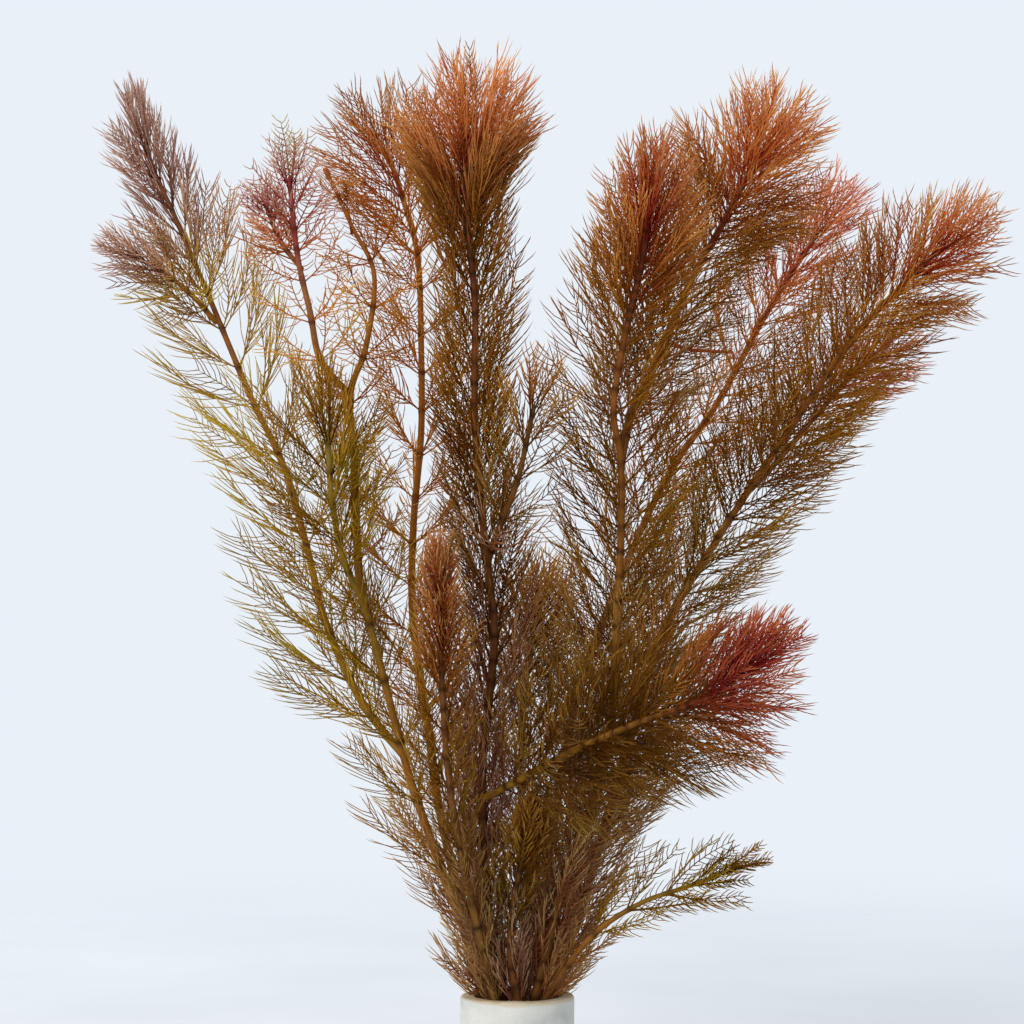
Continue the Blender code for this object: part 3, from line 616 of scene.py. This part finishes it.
def turned(profile, segments, wobble):
    """Closed surface of revolution: a corner is (r cos a, r sin a, z) for each profile point (r, z).

    wobble adds its own radius and height to each point and angle. The map is the angle and the place
    along the profile, both from 0 to 1."""
    profile = np.array(profile, float)
    count = len(profile)
    angle = 2 * np.pi * np.arange(segments) / segments
    more_r, more_z = wobble(profile[None, :, 0], profile[None, :, 1], angle[:, None])
    radius = profile[None, :, 0] + more_r
    points = np.stack([radius * np.cos(angle)[:, None], radius * np.sin(angle)[:, None],
                       profile[None, :, 1] + more_z], -1).reshape(-1, 3)
    a, b = (g.ravel() for g in np.meshgrid(np.arange(segments), np.arange(count)))
    after_a, after_b = (a + 1) % segments, (b + 1) % count
    faces = np.stack([a * count + b, after_a * count + b, after_a * count + after_b, a * count + after_b], -1)
    maps = np.stack([np.stack([a, a + 1, a + 1, a], -1) / segments,
                     np.stack([b, b, b + 1, b + 1], -1) / count], -1)
    return points, [faces], [maps]


# Stems and leaves

def between(pair, share):
    """Value at a share of the way from the first of a pair to the second: a + (b - a) * share."""
    return pair[0] + (pair[1] - pair[0]) * share


def summed(steps):
    """Points reached by going the steps one after another from the origin."""
    return np.concatenate([np.zeros_like(steps[..., :1, :]), np.cumsum(steps, axis=-2)], axis=-2)


def smooth_route(points):
    """Catmull-Rom curve. Between knots b and c, with a before and d after, the place at share t is
    half of 2b + (c - a)t + (2a - 5b + 4c - d)t^2 + (3b - a - 3c + d)t^3.

    Returns its places, its directions and the distance along it."""
    knots = np.array(points, float)
    knots = np.vstack([2 * knots[0] - knots[1], knots, 2 * knots[-1] - knots[-2]])
    a, b, c, d = (knots[i:len(knots) - 3 + i, None] for i in range(4))
    t = (np.arange(CURVE_STEPS) / CURVE_STEPS)[None, :, None]
    curve = 0.5 * (2 * b + (c - a) * t + (2 * a - 5 * b + 4 * c - d) * t ** 2
                   + (3 * b - a - 3 * c + d) * t ** 3)
    curve = np.vstack([curve.reshape(-1, 3), knots[-2]])
    lengths = np.concatenate([[0.0], np.cumsum(np.linalg.norm(np.diff(curve, axis=0), axis=1))])
    return curve, unit(np.gradient(curve, lengths, axis=0)), lengths


def at(route, s):
    """Places and directions at distances s along a route, which goes on straight below its start."""
    curve, ahead, lengths = route
    place = np.stack([np.interp(s, lengths, curve[:, i]) for i in range(3)], -1)
    direction = unit(np.stack([np.interp(s, lengths, ahead[:, i]) for i in range(3)], -1))
    return place + np.minimum(s, 0.0)[:, None] * direction, direction


def crown_share(spec, s, total):
    """How far into the crown a place is: 0 below it, 1 at the tip."""
    return np.clip(1.0 - (total - s) / spec["crown"], 0.0, 1.0)


def zone_of(spec, s, total):
    """Place on the map: 0 at the foot, LOW_ZONE where the crown starts, 1 at the tip."""
    below = np.clip(s / max(total - spec["crown"], 1.0), 0.0, 1.0)
    return LOW_ZONE * below + (1.0 - LOW_ZONE) * crown_share(spec, s, total)


def whorl_distances(spec, total, rng):
    """Distances of the whorls along a shoot, set out from the tip down. The way to the next one goes
    from its low to its crown value over CROWN_FILLS of the crown, times a random share."""
    places, s = [], total - spec["bare_end"]
    while s > spec["bare"]:
        places.append(s)
        filled = min(1.0, float(crown_share(spec, s, total)) / CROWN_FILLS)
        s -= between(spec["whorls"], filled) * rng.uniform(*WHORL_RANGE)
    return np.array(places[::-1])


def closing(spec, share):
    """How far a place is into the part of the crown that closes: 0 below it, 1 at the tip."""
    return np.maximum(0.0, share - spec["closes"]) / (1.0 - spec["closes"])


def leaf_angles(spec, share):
    """Leaf angle to the stem. It goes from its low to its crown value with
    (share of the crown / CROWN_OPENS, at most 1)^flare, and closes to TIP_ANGLE_SHARE of that."""
    opened = np.minimum(1.0, share / CROWN_OPENS) ** spec["flare"]
    return between(spec["spread"], opened) * between((1.0, TIP_ANGLE_SHARE), closing(spec, share))


def stem_surface(spec, route, whorls):
    """Tube along the route whose radius tapers from foot to tip and swells at each node.

    Its radius is taper * (1 + NODE_SWELL * exp(-(distance to node / NODE_LENGTH)^2)). A broken tip
    swells to a blunt stump by 1 + STUMP_SWELL * exp(-(distance to the end / STUMP_LENGTH)^2)."""
    total = route[2][-1]
    s = np.linspace(0.0, total, int(total / STEM_STEP) + 2)
    place, _ = at(route, s)
    if place[0, 2] <= PLUG_TOP:
        place = np.vstack([[place[0, 0], place[0, 1], FOOT_DEPTH], place])
        s = np.concatenate([[0.0], s])
    near = np.exp(-(np.abs(s[:, None] - whorls[None, :]).min(axis=1) / NODE_LENGTH) ** 2)
    radius = between(spec["radius"], s / total) * (1.0 + NODE_SWELL * near)
    if spec["broken"]:
        radius *= 1.0 + STUMP_SWELL * np.exp(-((total - s) / STUMP_LENGTH) ** 2)
    end = np.array(STUMP if spec["broken"] else BUD)
    place = np.vstack([place, place[-1] + end[:, :1] * route[1][-1]])
    radius = np.concatenate([radius, radius[-1] * end[:, 1]])
    near = np.concatenate([near, [near[-1], near[-1]]])
    zone = np.concatenate([zone_of(spec, s, total) * 0.985, [0.99, 1.0]])
    points, faces, maps = tubes(place[None], radius[None], TO_THE_BACK, zone[None],
                                np.array([STEM_EDGES]), STEM_SIDES)
    maps = [m[..., ::-1] for m in maps]
    rings = np.concatenate([np.repeat(near[:-1], STEM_SIDES), near[-1:]])
    return points, faces, maps, rings


def leaf_places(spec, route, whorls, rng):
    """Where the leaves start: distance along the shoot, place, stem's direction and way outwards.

    Leaf n of the m in a whorl stands at turn 2 pi (n / m + the whorl's own share), give or take
    TURN_STRAY. Of the leaves that point at the viewer, the share parted is left out."""
    total = route[2][-1]
    share = crown_share(spec, whorls, total)
    count = np.where(share > CROWN_WHORLS_FROM, rng.choice(CROWN_WHORL, len(whorls)),
                     rng.choice(LOW_WHORL, len(whorls)))
    s = np.repeat(whorls, count)
    order = np.arange(len(s)) - np.repeat(np.cumsum(count) - count, count)
    turn = 2 * np.pi * (order / np.repeat(count, count) + np.repeat(rng.uniform(0, 1, len(whorls)), count))
    turn = turn + rng.normal(0, TURN_STRAY, len(s))
    s = s + rng.normal(0, PLACE_STRAY, len(s))
    centre, ahead = at(route, s)
    side = unit(np.cross(TO_THE_BACK, ahead))
    other = np.cross(ahead, side)
    outward = np.cos(turn)[:, None] * side + np.sin(turn)[:, None] * other
    kept = (outward[:, 1] > FRONT_GAP) | (rng.uniform(0, 1, len(s)) > spec["parted"])
    return s[kept], centre[kept], ahead[kept], outward[kept]


def drawn_leaves(spec, route, whorls, rng):
    """Midribs of the leaves in the whorls, as paths of RIB_STEPS equal steps, with each leaf's values.

    A step points at leaf angle * (1 + bow * (BOW_CENTRE - share along the leaf)) from the stem's
    direction outwards, turned sideways by sway * (share - SWAY_CENTRE). Length and bow go from their
    low to their crown values, and the length on to tip_leaf of it as the crown closes."""
    total = route[2][-1]
    s, centre, ahead, outward = leaf_places(spec, route, whorls, rng)
    across = np.cross(ahead, outward)
    crown = crown_share(spec, s, total)
    filled = np.minimum(1.0, crown / CROWN_FILLS)
    height = np.clip((centre[:, 2] - RING_HEIGHT) / FOOT_ZONE, 0.0, 1.0)
    length = between(spec["leaf"], filled) * between((FOOT_LEAF_SHARE, 1.0), height)
    length = length * between((1.0, spec["tip_leaf"]), closing(spec, crown))
    length = length * rng.uniform(*LEAF_RANGE, len(s))
    angle = leaf_angles(spec, crown) * between((FOOT_ANGLE_SHARE, 1.0), height)
    angle = np.radians(angle + rng.normal(0, ANGLE_STRAY, len(s)))
    sway = np.radians(rng.normal(0, SWAY, len(s)))
    q = (np.arange(RIB_STEPS) + 0.5) / RIB_STEPS
    bow = between(spec["bow"], filled)
    lean = angle[:, None] * (1.0 + bow[:, None] * (BOW_CENTRE - q))
    drift = sway[:, None] * (q - SWAY_CENTRE)
    step = (np.cos(drift)[..., None] * (np.sin(lean)[..., None] * outward[:, None]
                                        + np.cos(lean)[..., None] * ahead[:, None])
            + np.sin(drift)[..., None] * across[:, None])
    root = centre + ROOT_SHARE * between(spec["radius"], s / total)[:, None] * outward
    way = summed(step * (length / RIB_STEPS)[:, None, None])
    fits = room_inside(root, way[:, -1])
    zone = zone_of(spec, s, total) + rng.normal(0, ZONE_STRAY, len(s))
    row = rng.integers(YOUNG_ROW + 1, TINT_ROWS, len(s)).astype(float)
    row[(crown > 0.5) & (rng.uniform(0, 1, len(s)) < YOUNG_SHARE)] = YOUNG_ROW
    return {"rib": root[:, None] + way * fits[:, None, None], "across": across, "up": ahead,
            "length": length * fits, "crown": crown, "zone": zone, "row": row,
            "twist": np.radians(rng.normal(0, between(TWIST_STRAY, crown))), "thick": np.ones(len(s))}


def room_inside(root, way):
    """Share of each way from its root that stays KEPT_ROOM inside the solids' box, at most 1."""
    low, high = np.array(cad_box[0]) / MM + KEPT_ROOM, np.array(cad_box[1]) / MM - KEPT_ROOM
    wall = np.where(way > 0.0, high, low)
    share = np.abs(wall - root) / np.maximum(np.abs(way), 1e-6)
    return np.clip(share.min(axis=1), SHORTEST_SHARE, 1.0)


def odd_leaves(spec):
    """Leaves placed one by one. A rib runs through the points that it is given, in equal shares."""
    share = np.arange(RIB_STEPS + 1) / RIB_STEPS
    leaves = [{**USUAL_ODD, **leaf} for leaf in spec["odd"]]
    ribs = []
    for leaf in leaves:
        given = np.array(leaf["rib"], float)
        knots = np.arange(len(given))
        ribs.append(np.stack([np.interp(share * knots[-1], knots, given[:, i]) for i in range(3)], -1))
    count = len(leaves)
    given = {key: np.array([leaf[key] for leaf in leaves]) for key in ("crown", "zone", "row", "thick")}
    return {"rib": np.array(ribs).reshape(-1, RIB_STEPS + 1, 3), **given,
            "across": np.tile(TO_THE_BACK, (count, 1)), "up": np.tile(UP, (count, 1)),
            "length": np.array([leaf["leaflet"] for leaf in leaves]) / spec["plume"][1],
            "twist": np.full(count, 0.5 * np.pi)}


def leaflets(leaves, plume, pairs, rng):
    """Thread leaflets in pairs along each midrib, as paths with points at LEAFLET_PLACES.

    A leaflet starts at share q of the rib. It points towards the leaf's flat side, which is turned by
    twist round the rib and cupped by CUP, at an angle from the rib's direction that is
    plume[0] * (0.95 + 0.2q) * (1 - 0.1 crown) times LEAFLET_TURNS, one value for each step. Of the
    stem's direction, LEAFLET_LIFT * (0.3 + 0.7 crown) is added, so that it curves up along the stem.
    Its length is plume[1] * leaf * (1 - 0.52 q^2) * (0.7 + 0.3 (q / 0.25, at most 1))."""
    paths, across, length, crown = (leaves[key] for key in ("rib", "across", "length", "crown"))
    count = len(paths)
    q = LEAFLETS_FROM + LEAFLETS_OVER * (np.arange(pairs) + 0.5) / pairs
    q = np.stack([q - PAIR_STAGGER / pairs, q + PAIR_STAGGER / pairs], -1).ravel()
    sign = np.tile([-1.0, 1.0], pairs)
    place = q * RIB_STEPS
    i = np.minimum(place.astype(int), RIB_STEPS - 1)
    share = (place - i)[None, :, None]
    root = paths[:, i] * (1 - share) + paths[:, i + 1] * share
    ahead = unit(paths[:, i + 1] - paths[:, i])
    flat = unit(across[:, None] - dot(across[:, None], ahead) * ahead)
    normal = np.cross(ahead, flat)
    twist = leaves["twist"][:, None, None]
    flat, normal = (np.cos(twist) * flat + np.sin(twist) * normal,
                    np.cos(twist) * normal - np.sin(twist) * flat)
    cup = np.radians(CUP + rng.normal(0, CUP_STRAY, (count, len(q), 1)))
    towards = np.cos(cup) * sign[None, :, None] * flat - np.sin(cup) * normal
    shape = (1 - 0.52 * q ** 2) * (0.7 + 0.3 * np.minimum(1.0, q / 0.25))
    size = plume[1] * length[:, None] * shape * rng.uniform(*LEAFLET_RANGE, (count, len(q)))
    size[rng.uniform(0, 1, size.shape) < NIPPED] *= NIPPED_LENGTH
    angle = plume[0] * (0.95 + 0.2 * q)[None, :] * (1.0 - 0.1 * crown[:, None])
    angle = np.radians(angle + rng.normal(0, LEAFLET_STRAY, (count, len(q))))
    lean = angle[..., None] * np.array(LEAFLET_TURNS)
    lift = (0.3 + 0.7 * crown)[:, None, None, None] * np.array(LEAFLET_LIFT)[:, None]
    step = unit(np.cos(lean)[..., None] * ahead[:, :, None] + np.sin(lean)[..., None] * towards[:, :, None]
                + lift * leaves["up"][:, None, None])
    paths = root[:, :, None] + summed(step * size[..., None, None] * np.diff(LEAFLET_PLACES)[:, None])
    return paths.reshape(-1, len(LEAFLET_PLACES), 3), np.broadcast_to(q, size.shape).ravel()


def leaf_map(zone, row, q, p):
    """Map places for leaf threads: u near the shoot's zone, v in the leaf's tint row by how far out.

    How far out is 1 - (1 - 0.6 q)(1 - 0.85 p), for share q along the rib and p along the leaflet."""
    out = 1.0 - (1.0 - 0.6 * q) * (1.0 - 0.85 * p)
    v = STEM_STRIP + (1.0 - STEM_STRIP) * (row[:, None] + 0.04 + 0.92 * out) / TINT_ROWS
    u = np.clip(zone, 0.002, 0.985)[:, None] + np.array([[0.0, 0.012]])
    return v, u


def make_shoot(name, spec, number):
    """One stem or shoot: the tube of its stem, one for each midrib and one for each leaflet."""
    spec = {**USUAL, **spec}
    rng = np.random.default_rng(700 + number)
    route = smooth_route(spec["points"])
    whorls = whorl_distances(spec, route[2][-1], rng)
    points, faces, maps, rings = stem_surface(spec, route, whorls)
    odd = odd_leaves(spec)
    drawn = drawn_leaves(spec, route, whorls, rng)
    leaves = {key: np.concatenate([value, odd[key]]) for key, value in drawn.items()}
    steps = np.arange(RIB_STEPS + 1) / RIB_STEPS
    v, u = leaf_map(leaves["zone"], leaves["row"], steps[None], 0.0)
    taper = between(RIB_RADIUS, steps)[None] * leaves["thick"][:, None]
    rib = tubes(leaves["rib"], taper, leaves["across"][:, None], v, u, THREAD_SIDES)
    pairs = max(FEWEST_PAIRS, int(round(LEAFY_SHARE * max(spec["leaf"]) / LEAFLET_SPACING)))
    threads, q = leaflets(leaves, spec["plume"], pairs, rng)
    zone, row, across = (np.repeat(leaves[key], 2 * pairs, axis=0) for key in ("zone", "row", "across"))
    v, u = leaf_map(zone, row, q[:, None], np.array(LEAFLET_PLACES)[None])
    thread = tubes(threads, np.array(LEAFLET_RADIUS)[None], across[:, None], v, u, THREAD_SIDES)
    surfaces = [(points, faces, maps, 0), (*rib, 1), (*thread, 1)]
    every = np.concatenate([rings, np.zeros(len(rib[0]) + len(thread[0]))])
    return make_piece(name + "_foliage", surfaces, [STEMS[spec["finish"]], LEAVES[spec["finish"]]], every)


# Ring and plug

def rounded_section(inner, outer, top, edge):
    """Ring section as a closed loop of (radius, height), its four edges rounded by quarter turns.

    The bore's lower edge is rounded less."""
    small = 0.4 * edge
    corners = [(outer - edge, edge, edge, -90), (outer - edge, top - edge, edge, 0),
               (inner + edge, top - edge, edge, 90), (inner + small, small, small, 180)]
    turn = np.radians(np.linspace(0, 90, 7))
    loop = []
    for r, z, size, start in corners:
        angle = np.radians(start) + turn
        loop.append(np.stack([r + size * np.cos(angle), z + size * np.sin(angle)], -1))
    return np.concatenate(loop)


def with_steps(loop, step):
    """The loop with points added so that none of its sides is longer than step."""
    ends = np.roll(loop, -1, axis=0)
    counts = np.maximum(1, np.ceil(np.linalg.norm(ends - loop, axis=1) / step).astype(int))
    sides = [a + (b - a) * np.arange(n)[:, None] / n for a, b, n in zip(loop, ends, counts)]
    return np.concatenate(sides)


def make_ring():
    """Pressed clay ring whose rim is slightly uneven, by a sum of two low waves round it."""
    def uneven(r, z, a):
        high = np.clip((z - (RING_HEIGHT - RIM_ZONE)) / RIM_ZONE, 0.0, 1.0)
        wave = 0.06 * np.sin(3 * a + 0.7) + 0.04 * np.sin(7 * a)
        return 0.05 * np.sin(2 * a) * high, high * (wave - 0.1)
    loop = with_steps(rounded_section(BORE_RADIUS, RING_RADIUS, RING_HEIGHT, RIM_ROUND), 2.0)
    return make_piece("plant_ring", [(*turned(loop, RING_SEGMENTS, uneven), 0)], [fired_clay()])


def make_plug():
    """Wool plug, flat below, whose top is lumpy by a sum of crossing waves of 1 to 3 mm.

    Loose fibres lie on it. Each goes in equal steps whose heading drifts, and rises in a half wave."""
    def lumpy(r, z, a):
        x, y = r * np.cos(a), r * np.sin(a)
        top = (z > PLUG_TOP - 0.6) * np.ones_like(a)
        lump = (0.35 * np.sin(1.7 * x + 0.9 * y) + 0.3 * np.sin(2.3 * y - 1.1 * x + 1.0)
                + 0.2 * np.sin(4.1 * x + 3.3 * y))
        return 0.0 * x, top * (lump - LUMP_DEPTH)
    radius = PLUG_RADIUS
    under = [(radius * t, 0.0) for t in (0.002, 0.25, 0.5, 0.75, 0.96)]
    wall = [(radius, 0.4)] + [(radius, z) for z in np.linspace(3.0, PLUG_TOP - 1.0, 8)]
    top = [(radius * t, PLUG_TOP - (0.35 if t > 0.95 else 0.0)) for t in np.linspace(0.98, 0.002, 24)]
    body = (*turned(under + wall + top, PLUG_SEGMENTS, lumpy), 0)
    rng = np.random.default_rng(31)
    where = radius * np.sqrt(rng.uniform(0, 0.94, FIBRES))
    angle = rng.uniform(0, 2 * np.pi, FIBRES)
    start = np.stack([where * np.cos(angle), where * np.sin(angle), np.full(FIBRES, PLUG_TOP - 0.9)], -1)
    heading = rng.uniform(0, 2 * np.pi, FIBRES)[:, None]
    heading = heading + rng.normal(0, 0.5, (FIBRES, FIBRE_POINTS)).cumsum(axis=1)
    half_wave = np.sin(np.linspace(0, np.pi, FIBRE_POINTS))[None]
    rise = rng.uniform(0.0, FIBRE_RISE, (FIBRES, 1)) * half_wave
    step = FIBRE_STEP * np.stack([np.cos(heading), np.sin(heading), 0 * heading], -1)
    path = start[:, None] + np.cumsum(step, axis=1)
    path[..., 2] += rise
    away = np.linalg.norm(path[..., :2], axis=-1, keepdims=True)
    path[..., :2] *= np.minimum(1.0, (radius - 0.2) / away)
    place = rng.uniform(0.05, 0.9, (FIBRES, 1))
    fibre = tubes(path, np.full((1, FIBRE_POINTS), FIBRE_RADIUS), UP,
                  place + np.linspace(0, 0.05, FIBRE_POINTS)[None], place + np.array([[0.0, 0.02]]),
                  THREAD_SIDES)
    wool = mineral_wool("matted_mineral_wool", "#5f584c", "#9d968a", "#b9b3a6")
    loose = mineral_wool("loose_mineral_wool", "#8b8476", "#b5afa2", "#d2cdc2")
    return make_piece("wool_plug_tufts", [body, (*fibre, 1)], [wool, loose])


# Build

LEAVES = {name: leaf_tissue(name + "_leaf_tissue", look["heart"], look["blade"], look["tips"])
          for name, look in FINISHES.items()}
STEMS = {name: stem_skin(name + "_stem_skin", look["stem"], look["node_ring"])
         for name, look in FINISHES.items()}

for number, (name, spec) in enumerate(SHOOTS.items()):
    piece = make_shoot(name, spec, number)
    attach(piece, "root")
    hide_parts(name)

ring = make_ring()
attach(ring, "root")
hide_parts("ceramic_ring")

plug = make_plug()
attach(plug, "root")
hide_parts("wool_plug")


# Floor, light and camera

floor_points = FLOOR_HALF * np.array([(-1, -1, 0), (1, -1, 0), (1, 1, 0), (-1, 1, 0)])
floor_faces = np.array([[0, 1, 2, 3]])
floor_map = np.array([[(0, 0), (1, 0), (1, 1), (0, 1)]], float)
floor = make_piece("studio_floor", [(floor_points, [floor_faces], [floor_map], 0)], [studio_floor()])


def soft_light(name, place, turn, size, power, code):
    """Large rectangular light that isn't seen itself: place and size in metres, power in watts."""
    light = bpy.data.lights.new(name, "AREA")
    light.shape = "RECTANGLE"
    light.size, light.size_y = size
    light.energy = power
    light.color = linear(code)[:3]
    lamp = bpy.data.objects.new(name, light)
    lamp.location = place
    lamp.rotation_euler = np.radians(turn)
    lamp.visible_camera = False
    bpy.context.scene.collection.objects.link(lamp)


def pale_surroundings():
    """Pale daylight background, brightest behind the bunch and weaker in front of it."""
    world = bpy.data.worlds.new("pale_surroundings")
    world.use_nodes = True
    tree = world.node_tree
    tree.nodes.clear()
    direction = add(tree, "TexCoord")["Generated"]
    behind = add(tree, "SeparateXYZ", {0: direction})[1]
    strength = add(tree, "MapRange", {0: behind, 1: -0.8, 2: 0.6, 3: 0.75, 4: 1.0}, SMOOTH)[0]
    light = add(tree, "Background", {"Color": linear("#e9f0f8"), "Strength": strength})[0]
    add(tree, "OutputWorld", {0: light})
    bpy.context.scene.world = world


pale_surroundings()
soft_light("back_light", (0.1, 1.6, 0.75), (-70, 0, 180), (1.4, 1.0), 45.0, "#fff4e4")
soft_light("top_light", (-0.35, 0.1, 1.15), (-5, -16, 0), (0.9, 0.9), 14.0, "#fffaf2")
soft_light("front_light", (-0.7, -1.1, 0.6), (68, 0, -32), (0.9, 0.9), 9.0, "#fffaf4")

camera = bpy.data.cameras.new("camera")
camera.sensor_width = SENSOR
camera.lens = LENS
eye = bpy.data.objects.new("camera", camera)
eye.location = [c * MM for c in CAMERA_PLACE]
eye.rotation_euler = np.radians((90.0, 0.0, 0.0))
bpy.context.scene.collection.objects.link(eye)
bpy.context.scene.camera = eye
bpy.context.scene.view_settings.view_transform = "Standard"
